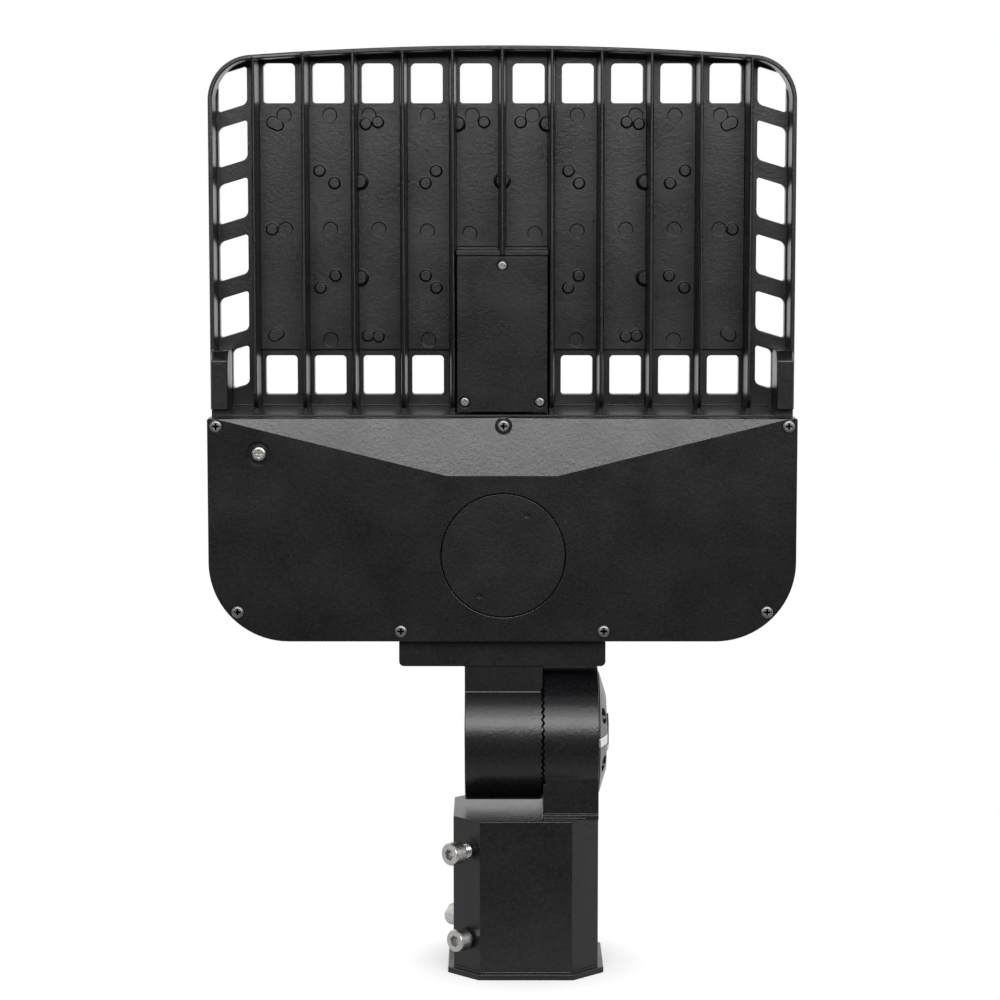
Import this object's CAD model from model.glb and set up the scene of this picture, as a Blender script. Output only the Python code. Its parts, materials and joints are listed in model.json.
import bpy
import bmesh
import json
from math import cos, pi, radians, sin
from mathutils import Matrix, Vector

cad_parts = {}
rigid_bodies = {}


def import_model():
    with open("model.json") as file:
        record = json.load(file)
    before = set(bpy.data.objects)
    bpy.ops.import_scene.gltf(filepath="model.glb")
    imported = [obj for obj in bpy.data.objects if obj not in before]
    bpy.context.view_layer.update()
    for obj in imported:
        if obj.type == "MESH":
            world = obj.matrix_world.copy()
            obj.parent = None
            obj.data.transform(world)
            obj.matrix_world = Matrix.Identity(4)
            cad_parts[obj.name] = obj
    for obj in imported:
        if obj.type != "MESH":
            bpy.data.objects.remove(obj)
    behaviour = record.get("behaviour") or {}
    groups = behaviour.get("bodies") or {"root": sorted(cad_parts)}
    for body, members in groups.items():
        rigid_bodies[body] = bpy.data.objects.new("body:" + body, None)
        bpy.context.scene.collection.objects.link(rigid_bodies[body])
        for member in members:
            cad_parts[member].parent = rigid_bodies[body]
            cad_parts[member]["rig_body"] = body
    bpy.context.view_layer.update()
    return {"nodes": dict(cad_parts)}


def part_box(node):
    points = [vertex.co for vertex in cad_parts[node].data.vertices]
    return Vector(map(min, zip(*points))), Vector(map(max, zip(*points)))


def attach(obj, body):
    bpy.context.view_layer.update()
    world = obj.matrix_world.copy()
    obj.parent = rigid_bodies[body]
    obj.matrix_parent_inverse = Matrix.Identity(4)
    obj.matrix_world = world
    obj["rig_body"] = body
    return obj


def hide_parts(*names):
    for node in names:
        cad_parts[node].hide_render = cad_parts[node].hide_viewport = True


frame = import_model()
MM = 0.001


# ---------------------------------------------------------------- camera

camera = bpy.data.objects.new("camera", bpy.data.cameras.new("camera"))
bpy.context.scene.collection.objects.link(camera)
camera.location = (-0.0148, -1.764, 0.4749)
camera.rotation_euler = (radians(83.395), 0, 0)
camera.data.sensor_width = 36
camera.data.lens = 111.31
camera.data.clip_start = 0.05
bpy.context.scene.camera = camera
bpy.context.scene.view_settings.view_transform = "Standard"


# ---------------------------------------------------------------- materials

def finish_named(name):
    material = bpy.data.materials.new(name)
    material.use_nodes = True
    tree = material.node_tree
    return material, tree.nodes, tree.links, tree.nodes["Principled BSDF"]


def object_coords(nodes):
    return nodes.new("ShaderNodeTexCoord").outputs["Object"]


def noise(nodes, links, coords, scale, detail=2.0, roughness=0.5):
    n = nodes.new("ShaderNodeTexNoise")
    n.inputs["Scale"].default_value = scale
    n.inputs["Detail"].default_value = detail
    n.inputs["Roughness"].default_value = roughness
    links.new(coords, n.inputs["Vector"])
    return n.outputs["Fac"]


def spread(nodes, links, value, low, high, start=0.3, end=0.7):
    n = nodes.new("ShaderNodeMapRange")
    n.inputs["From Min"].default_value = start
    n.inputs["From Max"].default_value = end
    n.inputs["To Min"].default_value = low
    n.inputs["To Max"].default_value = high
    links.new(value, n.inputs["Value"])
    return n.outputs["Result"]


def between(nodes, links, value, dark, light):
    n = nodes.new("ShaderNodeValToRGB")
    n.color_ramp.elements[0].position = 0.3
    n.color_ramp.elements[0].color = (*dark, 1)
    n.color_ramp.elements[1].position = 0.7
    n.color_ramp.elements[1].color = (*light, 1)
    links.new(value, n.inputs["Fac"])
    return n.outputs["Color"]


def bump(nodes, links, height, strength, distance, under=None):
    n = nodes.new("ShaderNodeBump")
    n.inputs["Strength"].default_value = strength
    n.inputs["Distance"].default_value = distance
    links.new(height, n.inputs["Height"])
    if under is not None:
        links.new(under, n.inputs["Normal"])
    return n.outputs["Normal"]


def powder_coat(name, dark, light, rough, grain=1500, depth=0.00006):
    """Black powder coat: a fine grain on a coarser orange peel, with the gloss drifting slowly."""
    material, nodes, links, shader = finish_named(name)
    coords = object_coords(nodes)
    fine = noise(nodes, links, coords, grain, 3, 0.6)
    speckle = noise(nodes, links, coords, 520, 2, 0.7)
    broad = noise(nodes, links, coords, 28, 3)
    links.new(between(nodes, links, speckle, dark, light), shader.inputs["Base Color"])
    links.new(spread(nodes, links, broad, rough - 0.04, rough + 0.05), shader.inputs["Roughness"])
    wave = bump(nodes, links, speckle, 0.45, 0.0002)
    links.new(bump(nodes, links, fine, 0.45, depth, wave), shader.inputs["Normal"])
    return material


def turned_steel(name, colour, rough):
    material, nodes, links, shader = finish_named(name)
    coords = object_coords(nodes)
    fine = noise(nodes, links, coords, 2600, 3, 0.6)
    broad = noise(nodes, links, coords, 160, 2)
    dark = [c * 0.82 for c in colour]
    links.new(between(nodes, links, broad, dark, colour), shader.inputs["Base Color"])
    links.new(spread(nodes, links, fine, rough - 0.07, rough + 0.09), shader.inputs["Roughness"])
    links.new(bump(nodes, links, fine, 0.2, 0.00003), shader.inputs["Normal"])
    shader.inputs["Metallic"].default_value = 1
    return material


def moulded(name, dark, light, rough, scale=900, depth=0.00003, specular=0.5):
    material, nodes, links, shader = finish_named(name)
    coords = object_coords(nodes)
    grain = noise(nodes, links, coords, scale, 2)
    patches = noise(nodes, links, coords, 60, 3)
    links.new(between(nodes, links, patches, dark, light), shader.inputs["Base Color"])
    links.new(spread(nodes, links, grain, rough - 0.05, rough + 0.05), shader.inputs["Roughness"])
    links.new(bump(nodes, links, grain, 0.25, depth), shader.inputs["Normal"])
    shader.inputs["Specular IOR Level"].default_value = specular
    return material


def clear_lens(name):
    material, nodes, links, shader = finish_named(name)
    coords = object_coords(nodes)
    haze = noise(nodes, links, coords, 70, 2)
    tint = between(nodes, links, haze, (0.93, 0.95, 0.96), (0.97, 0.98, 0.98))
    links.new(tint, shader.inputs["Base Color"])
    links.new(spread(nodes, links, haze, 0.02, 0.07), shader.inputs["Roughness"])
    shader.inputs["Transmission Weight"].default_value = 1
    shader.inputs["IOR"].default_value = 1.5
    return material


coat_base = (0.0022, 0.002, 0.0025)
coat_speck = (0.0105, 0.0098, 0.0115)
cover_speck = (0.0085, 0.008, 0.0094)
coat = powder_coat("housing_powder_coat", coat_base, coat_speck, 0.3)
cover_coat = powder_coat("cover_powder_coat", (0.0018, 0.0016, 0.0021), cover_speck, 0.28)
sleeve_coat = powder_coat("sleeve_powder_coat", coat_base, coat_speck, 0.29, 1300, 0.00008)
blank_coat = powder_coat("blank_coat", coat_base, cover_speck, 0.31, 1300)
stainless = turned_steel("stainless", (0.63, 0.62, 0.6), 0.3)
screw_steel = turned_steel("screw_steel", (0.3, 0.295, 0.29), 0.36)
earth_steel = turned_steel("earth_screw_steel", (0.62, 0.61, 0.58), 0.3)
pointer_steel = turned_steel("pointer_bright", (0.78, 0.78, 0.76), 0.35)
seal = moulded("seal_rubber", (0.012, 0.012, 0.012), (0.02, 0.02, 0.02), 0.65, 1400, 0.00005, 0.3)
grey_seal = moulded("lens_seal_silicone", (0.32, 0.32, 0.31), (0.38, 0.38, 0.37), 0.6, 1400)
board_mask = moulded("board_solder_mask", (0.74, 0.74, 0.72), (0.8, 0.8, 0.78), 0.35, 2200)
phosphor = moulded("chip_phosphor", (0.82, 0.6, 0.1), (0.9, 0.68, 0.15), 0.35, 3000)
heat_pad = moulded("heat_pad", (0.28, 0.4, 0.5), (0.33, 0.46, 0.56), 0.7)
driver_case = turned_steel("driver_case", (0.6, 0.6, 0.61), 0.42)
surge_case = moulded("surge_case", (0.05, 0.05, 0.06), (0.07, 0.07, 0.08), 0.45)
terminal_plastic = moulded("terminal_plastic", (0.62, 0.6, 0.52), (0.68, 0.66, 0.58), 0.45)
lead_sleeving = moulded("lead_sleeving", (0.05, 0.05, 0.05), (0.07, 0.07, 0.07), 0.4)
lens_plastic = clear_lens("lens_polycarbonate")


# ---------------------------------------------------------------- making pieces

def merged(node):
    """A copy of a CAD node's triangles, joined into closed solids."""
    bm = bmesh.new()
    bm.from_mesh(frame["nodes"][node].data)
    bmesh.ops.remove_doubles(bm, verts=bm.verts, dist=2e-6)
    return bm


def solids(node):
    """Lowest and highest corner of each separate solid of a CAD node."""
    bm = merged(node)
    left = set(bm.verts)
    found = []
    while left:
        group = [left.pop()]
        for v in group:
            for e in v.link_edges:
                o = e.other_vert(v)
                if o in left:
                    left.discard(o)
                    group.append(o)
        low = Vector([min(v.co[i] for v in group) for i in range(3)])
        high = Vector([max(v.co[i] for v in group) for i in range(3)])
        found.append((low, high))
    bm.free()
    return found


def flat_areas(bm):
    """Numbers the flat faces of a casting and gives the whole area of each."""
    number = {}
    areas = []
    for first in bm.faces:
        if first in number:
            continue
        group = [first]
        number[first] = len(areas)
        for f in group:
            for e in f.edges:
                if len(e.link_faces) == 2 and e.calc_face_angle() < radians(0.2):
                    for g in e.link_faces:
                        if g not in number:
                            number[g] = len(areas)
                            group.append(g)
        areas.append(sum(f.calc_area() for f in group))
    return number, areas


def crease(bm, number, areas, smallest=400 * MM * MM):
    """Marks as sharp the square corners left and the lines where two large flat faces meet."""
    for e in bm.edges:
        if len(e.link_faces) != 2:
            continue
        turn = e.calc_face_angle()
        large = min(areas[number[f]] for f in e.link_faces) > smallest
        e.smooth = turn < radians(50) and not (large and turn > radians(1.5))


def shading(bm, number, areas):
    """Normals for each corner of each face: the larger flat face wins, and rounds run into it."""
    normals = {}
    for v in bm.verts:
        left = set(v.link_faces)
        while left:
            fan = [left.pop()]
            for f in fan:
                for e in f.edges:
                    if e.smooth and v in e.verts:
                        for g in e.link_faces:
                            if g in left:
                                left.discard(g)
                                fan.append(g)
            weight = {number[f]: f.normal * areas[number[f]] ** 2 for f in fan}
            normal = sum(weight.values(), Vector()).normalized()
            for f in fan:
                normals[f.index, v.index] = normal
    return [normals[f.index, corner.vert.index] for f in bm.faces for corner in f.loops]


def shown(name, bm, material, slot, *nodes):
    """Makes the piece, lets it ride where its CAD nodes ride and stand for them."""
    bm.verts.index_update()
    bm.faces.index_update()
    bm.normal_update()
    for f in bm.faces:
        f.smooth = True
    number, areas = flat_areas(bm)
    crease(bm, number, areas)
    normals = shading(bm, number, areas)
    mesh = bpy.data.meshes.new(name)
    bm.to_mesh(mesh)
    bm.free()
    mesh.normals_split_custom_set(normals)
    mesh.materials.append(material)
    piece = bpy.data.objects.new(name, mesh)
    bpy.context.scene.collection.objects.link(piece)
    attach(piece, frame["nodes"][nodes[0]]["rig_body"])
    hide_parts(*nodes)
    return piece


def soften(bm, width, segments=2, where=None, slide=False):
    """Rounds the corners of a casting over by the given width."""
    edges = [
        e for e in bm.edges
        if len(e.link_faces) == 2 and e.calc_face_angle() > radians(42)
        and (where is None or where(e))
    ]
    bmesh.ops.bevel(
        bm, geom=edges, offset=width, offset_type="OFFSET", segments=segments, profile=0.5,
        affect="EDGES", clamp_overlap=False, material=-1, loop_slide=slide,
    )


def casting(name, node, width, material, slot, where=None, slide=False):
    bm = merged(node)
    soften(bm, width, where=where, slide=slide)
    return shown(name, bm, material, slot, node)


def lathe(profile, steps):
    """A closed turned solid round +Z from (radius, height) points that run from axis to axis."""
    bm = bmesh.new()
    row = [bm.verts.new((r, 0, z)) for r, z in profile]
    for a, b in zip(row, row[1:]):
        bm.edges.new((a, b))
    bmesh.ops.spin(
        bm, geom=bm.verts[:] + bm.edges[:], cent=(0, 0, 0), axis=(0, 0, 1), dvec=(0, 0, 0),
        angle=2 * pi, steps=steps, use_merge=True,
    )
    bmesh.ops.remove_doubles(bm, verts=bm.verts, dist=1e-7)
    bmesh.ops.recalc_face_normals(bm, faces=bm.faces)
    return bm


def ring_edges(bm, radius, height):
    def on_ring(v):
        return abs(v.co.xy.length - radius) < 1e-6 and abs(v.co.z - height) < 1e-6

    return [e for e in bm.edges if all(on_ring(v) for v in e.verts)]


def outline_edges(bm, points, height, per_side):
    verts = []
    for a, b in zip(points, points[1:] + points[:1]):
        for i in range(per_side):
            t = i / per_side
            x, y = (a[k] + (b[k] - a[k]) * t for k in range(2))
            verts.append(bm.verts.new((x, y, height)))
    return [bm.edges.new((a, b)) for a, b in zip(verts, verts[1:] + verts[:1])]


def sink_recess(bm, rim, edges, depth, taper):
    """Bridges the head's open rim to a recess outline and drives the recess down."""
    bmesh.ops.bridge_loops(bm, edges=rim + edges)
    wall = bmesh.ops.extrude_edge_only(bm, edges=edges)["geom"]
    verts = [g for g in wall if isinstance(g, bmesh.types.BMVert)]
    bmesh.ops.translate(bm, verts=verts, vec=(0, 0, -depth))
    bmesh.ops.scale(bm, verts=verts, vec=(taper, taper, 1))
    low = [g for g in wall if isinstance(g, bmesh.types.BMEdge)]
    bmesh.ops.contextual_create(bm, geom=low)
    bmesh.ops.recalc_face_normals(bm, faces=bm.faces)


def hexagon(flats):
    r = flats / 3 ** 0.5
    return [(r * cos(i * pi / 3), r * sin(i * pi / 3)) for i in range(6)]


def cross(reach, half):
    w, r = half, reach
    return [
        (r, -w), (r, w), (w, w), (w, r), (-w, r), (-w, w),
        (-r, w), (-r, -w), (-w, -w), (-w, -r), (w, -r), (w, -w),
    ]


def pan_head(radius, height, shank, length):
    """A cross-recessed pan-head screw whose seat is at height 0, head up."""
    inner = radius * 0.6
    profile = [
        (0, -length), (shank * 0.7, -length), (shank, -length + shank * 0.5), (shank, 0),
        (radius * 0.97, 0), (radius, height * 0.08), (radius, height * 0.3),
        (radius * 0.97, height * 0.5), (radius * 0.9, height * 0.72), (radius * 0.78, height * 0.9),
        (inner, height),
    ]
    bm = lathe(profile, 36)
    recess = outline_edges(bm, cross(radius * 0.5, radius * 0.13), height, 3)
    sink_recess(bm, ring_edges(bm, inner, height), recess, height * 0.6, 0.78)
    return bm


def put(bm, at, facing):
    turn = Vector((0, 0, 1)).rotation_difference(Vector(facing)).to_matrix().to_4x4()
    bmesh.ops.transform(bm, matrix=Matrix.Translation(at) @ turn, verts=bm.verts)
    return bm


def joined(parts):
    whole = bmesh.new()
    for bm in parts:
        mesh = bpy.data.meshes.new("part")
        bm.to_mesh(mesh)
        bm.free()
        whole.from_mesh(mesh)
        bpy.data.meshes.remove(mesh)
    return whole


def sky_screws(name, node, material, head_r, head_h, shank):
    """Pan heads on the sky side, one where each CAD screw of the node is."""
    parts = []
    for low, high in solids(node):
        at = Vector(((low.x + high.x) / 2, low.y + head_h, (low.z + high.z) / 2))
        parts.append(put(pan_head(head_r, head_h, shank, high.y - at.y), at, (0, -1, 0)))
    return shown(name, joined(parts), material, "steel", node)


# ---------------------------------------------------------------- castings

tip_y = -31 * MM
pivot_low, pivot_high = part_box("knuckle_cap")
pivot = Vector((0, 0, (pivot_low.z + pivot_high.z) / 2))
teeth_from, teeth_to, teeth_r = 7.5 * MM, 11.5 * MM, 39.5 * MM


def fin_tips(e):
    """Edges of the fins' and the rim's tips."""
    return all(v.co.y < tip_y + 0.01 * MM for v in e.verts)


def long_edges(e):
    """Edges past the short ones round the screw seats."""
    return e.calc_length() > 2 * MM


def off_teeth(e):
    """Edges away from the crown of locking teeth."""
    middle = (e.verts[0].co + e.verts[1].co) / 2
    away = (Vector((0, middle.y, middle.z)) - pivot).length
    return not (teeth_from < middle.x < teeth_to and away < teeth_r)


housing = merged("heat_sink_housing")
soften(housing, 0.75 * MM, segments=3, where=fin_tips)
soften(housing, 0.35 * MM)
shown("heat_sink_casting", housing, coat, "cast_black", "heat_sink_housing")
casting(
    "driver_cover_casting", "driver_cover", 0.5 * MM, cover_coat, "cover_black",
    where=long_edges, slide=True,
)
casting("sleeve_casting", "tenon_sleeve", 0.55 * MM, sleeve_coat, "cast_black", off_teeth)
casting("bracket_casting", "knuckle_bracket", 0.55 * MM, sleeve_coat, "cast_black", off_teeth)
casting("knuckle_cap_moulding", "knuckle_cap", 0.3 * MM, sleeve_coat, "cast_black")
casting("tilt_pointer_strip", "tilt_pointer", 0.25 * MM, pointer_steel, "steel")
casting("wiring_cover_plate", "wiring_cover", 0.3 * MM, cover_coat, "cover_black")
casting("photocell_blank_disc", "photocell_blank", 0.3 * MM, blank_coat, "plastic_black")
casting("lens_frame_casting", "lens_frame", 0.3 * MM, coat, "cast_black")


# ---------------------------------------------------------------- fasteners

for name, node, material, head_r, head_h, shank in (
    ("driver_cover_pan_screws", "driver_cover_screws", screw_steel, 3.7, 2.4, 2),
    ("earth_pan_screw", "earth_screw", earth_steel, 4.7, 3.2, 2),
    ("wiring_cover_pan_screws", "wiring_cover_screws", screw_steel, 2.9, 1.8, 1.5),
):
    sky_screws(name, node, material, head_r * MM, head_h * MM, shank * MM)


def threaded(radius, root, pitch, length):
    """A threaded rod up +Z from 0, cut square at both ends."""
    turns = int(length / pitch) + 3
    bm = bmesh.new()
    row = []
    for i in range(turns):
        z = (i - 1) * pitch
        row += [bm.verts.new((root, 0, z)), bm.verts.new((radius, 0, z + pitch * 0.42)),
                bm.verts.new((radius, 0, z + pitch * 0.55))]
    for a, b in zip(row, row[1:]):
        bm.edges.new((a, b))
    steps = 40
    bmesh.ops.spin(
        bm, geom=bm.verts[:] + bm.edges[:], cent=(0, 0, 0), axis=(0, 0, 1),
        dvec=(0, 0, pitch / steps), angle=2 * pi, steps=steps, use_merge=False,
    )
    bmesh.ops.remove_doubles(bm, verts=bm.verts, dist=1e-6)
    for height, up in ((0, -1), (length, 1)):
        cut = bmesh.ops.bisect_plane(
            bm, geom=bm.verts[:] + bm.edges[:] + bm.faces[:], dist=1e-8, plane_co=(0, 0, height),
            plane_no=(0, 0, up), clear_outer=True,
        )
        rim = [g for g in cut["geom_cut"] if isinstance(g, bmesh.types.BMEdge)]
        bmesh.ops.contextual_create(bm, geom=rim)
    bmesh.ops.recalc_face_normals(bm, faces=bm.faces)
    return bm


def socket_head(radius, height, flats, knurls=48):
    """A knurled socket head that stands on height 0."""
    inner = flats * 0.68
    profile = [
        (0, 0), (radius * 0.95, 0), (radius, height * 0.06), (radius, height * 0.8),
        (radius * 0.985, height * 0.83), (radius * 0.985, height * 0.92), (radius * 0.93, height),
        (inner, height),
    ]
    bm = lathe(profile, 2 * knurls)
    for v in bm.verts:
        step = round(v.co.xy.angle(Vector((1, 0)), 0) / (pi / knurls))
        if v.co.xy.length > radius * 0.995 and step % 2:
            v.co.xy *= 0.968
    rim = outline_edges(bm, hexagon(flats), height, 16)
    sink_recess(bm, ring_edges(bm, inner, height), rim, height * 0.5, 0.97)
    return bm


def set_bolt(name, node, side):
    """One stainless set bolt, along the sleeve's chamfered corner."""
    low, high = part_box(node)
    out = Vector((-1, -side, 0)).normalized()
    centre = (low + high) / 2
    height = (high.z - low.z) / 2
    reach = [(Vector((x, y, 0)) @ out) for x in (low.x, high.x) for y in (low.y, high.y)]
    head_top = max(reach) - height
    shank = 18 * MM
    head_h = 8 * MM
    into_head = 0.4 * MM
    at = out * (head_top - head_h) + Vector((0, 0, centre.z))
    rod = threaded(3.93 * MM, 3.25 * MM, 1.25 * MM, shank + into_head)
    put(rod, at - out * shank, out)
    head = put(socket_head(height, head_h, 6 * MM), at, out)
    return shown(name, joined([rod, head]), stainless, "steel", node)


set_bolt("upper_front_set_bolt", "set_bolt_front_upper", 1)
set_bolt("lower_front_set_bolt", "set_bolt_front_lower", 1)
set_bolt("rear_set_bolt", "set_bolt_rear", -1)


# ---------------------------------------------------------------- what stays as the CAD has it

for node, material in {
    "pivot_bolt": stainless, "pivot_washer": stainless, "pivot_nut": stainless,
    "nut_washer": stainless, "bracket_screws": stainless,
    "lead_grommet": seal, "bracket_pad": seal, "lead_bushing": seal,
    "driver_cover_gasket": seal, "photocell_gasket": seal, "wiring_cover_gasket": seal,
    "photocell_retainer": blank_coat, "led_driver": driver_case, "driver_screws": stainless,
    "surge_protector": surge_case, "surge_screws": stainless, "terminal_block": terminal_plastic,
    "terminal_screws": stainless, "driver_leads": lead_sleeving, "led_leads": lead_sleeving,
    "thermal_pad_left": heat_pad, "thermal_pad_right": heat_pad, "led_board_left": board_mask,
    "led_board_right": board_mask, "led_chips_left": phosphor, "led_chips_right": phosphor,
    "board_screws": stainless, "lens_gasket": grey_seal, "lens_panel_left": lens_plastic,
    "lens_panel_right": lens_plastic, "lens_frame_screws": screw_steel,
}.items():
    for slot in frame["nodes"][node].material_slots:
        slot.material = material


# ---------------------------------------------------------------- floor, world and lamps

def worked(nodes, links, operation, first, second):
    """One value worked out of two, such as the larger of them or their product."""
    n = nodes.new("ShaderNodeMath")
    n.operation = operation
    links.new(first, n.inputs[0])
    links.new(second, n.inputs[1])
    return n.outputs[0]


def blended(nodes, links, share, under, over):
    n = nodes.new("ShaderNodeMixShader")
    links.new(share, n.inputs["Fac"])
    links.new(under, n.inputs[1])
    links.new(over, n.inputs[2])
    return n.outputs["Shader"]


def part_along(nodes, links, coords, axis):
    """The part of a place or direction along one axis."""
    n = nodes.new("ShaderNodeSeparateXYZ")
    links.new(coords, n.inputs[0])
    return n.outputs[axis]


floor_bm = bmesh.new()
bmesh.ops.create_grid(floor_bm, x_segments=1, y_segments=1, size=6)
floor_mesh = bpy.data.meshes.new("floor")
floor_bm.to_mesh(floor_mesh)
floor_bm.free()
floor = bpy.data.objects.new("floor", floor_mesh)
bpy.context.scene.collection.objects.link(floor)
floor_finish, nodes, links, shader = finish_named("floor_white")
floor_mesh.materials.append(floor_finish)
shader.inputs["Roughness"].default_value = 0.8
shader.inputs["Specular IOR Level"].default_value = 0
rays = nodes.new("ShaderNodeLightPath").outputs
spot = object_coords(nodes)

# the camera sees a white floor; to the light it is white behind and dark in front, as the room is
back = spread(nodes, links, part_along(nodes, links, spot, "Y"), 0.08, 1, -0.25, 0.25)
tone = worked(nodes, links, "MAXIMUM", rays["Is Camera Ray"], back)
links.new(tone, shader.inputs["Base Color"])
mirrored = worked(nodes, links, "MAXIMUM", rays["Is Glossy Ray"], rays["Is Transmission Ray"])
behind = worked(nodes, links, "MULTIPLY", mirrored, back)
whole = worked(nodes, links, "MAXIMUM", rays["Is Camera Ray"], behind)

# close round the foot the floor keeps some of its own shading, so that the shadow shows
away = nodes.new("ShaderNodeVectorMath")
away.operation = "LENGTH"
links.new(spot, away.inputs[0])
clean = spread(nodes, links, away.outputs["Value"], 0.6, 1, 0.046, 0.07)
glow = nodes.new("ShaderNodeEmission")
glow.inputs["Color"].default_value = (1, 1, 1, 1)
glow.inputs["Strength"].default_value = 1
share = worked(nodes, links, "MULTIPLY", whole, clean)
floor_look = blended(nodes, links, share, shader.outputs["BSDF"], glow.outputs["Emission"])
links.new(floor_look, nodes["Material Output"].inputs["Surface"])

world = bpy.data.worlds.new("studio")
bpy.context.scene.world = world
world.use_nodes = True
nodes, links = world.node_tree.nodes, world.node_tree.links
rays = nodes.new("ShaderNodeLightPath").outputs
sky = nodes["Background"]
white = nodes.new("ShaderNodeBackground")
room = nodes.new("ShaderNodeBackground")
for part, strength in ((sky, 0.09), (white, 1), (room, 1)):
    part.inputs["Color"].default_value = (1, 1, 1, 1)
    part.inputs["Strength"].default_value = strength
direction = nodes.new("ShaderNodeTexCoord").outputs["Generated"]
facing = part_along(nodes, links, direction, "Y")
links.new(spread(nodes, links, facing, 0.03, 1, -0.5, 0.3), room.inputs["Strength"])
shine = blended(
    nodes, links, rays["Is Glossy Ray"], sky.outputs["Background"], room.outputs["Background"],
)
seen = worked(nodes, links, "MAXIMUM", rays["Is Camera Ray"], rays["Is Transmission Ray"])
final = blended(nodes, links, seen, shine, white.outputs["Background"])
links.new(final, nodes["World Output"].inputs["Surface"])


def softbox(name, at, wide, tall, power):
    """A rectangular lamp that faces the middle of the light."""
    lamp = bpy.data.lights.new(name, "AREA")
    lamp.shape = "RECTANGLE"
    lamp.size = wide
    lamp.size_y = tall
    lamp.energy = power
    piece = bpy.data.objects.new(name, lamp)
    bpy.context.scene.collection.objects.link(piece)
    piece.location = at
    toward = Vector((0, 0, 0.3)) - Vector(at)
    piece.rotation_euler = toward.to_track_quat("-Z", "Y").to_euler()


softbox("front_softbox", (0.3, -2.133, 1.162), 2.5, 0.82, 52)
softbox("front_high_softbox", (0.1, -1.709, 1.839), 2.2, 0.5, 12)
softbox("top_softbox", (0, -0.2, 2.4), 1.8, 1.8, 2)
softbox("left_softbox", (-2.4, -0.7, 0.9), 1.2, 1.2, 4)
softbox("right_softbox", (2.4, -0.7, 0.9), 1.2, 1.2, 3)
softbox("left_rim_softbox", (-1.9, 1.6, 0.9), 1.2, 1.2, 12)
softbox("right_rim_softbox", (1.9, 1.6, 0.9), 1.2, 1.2, 9)
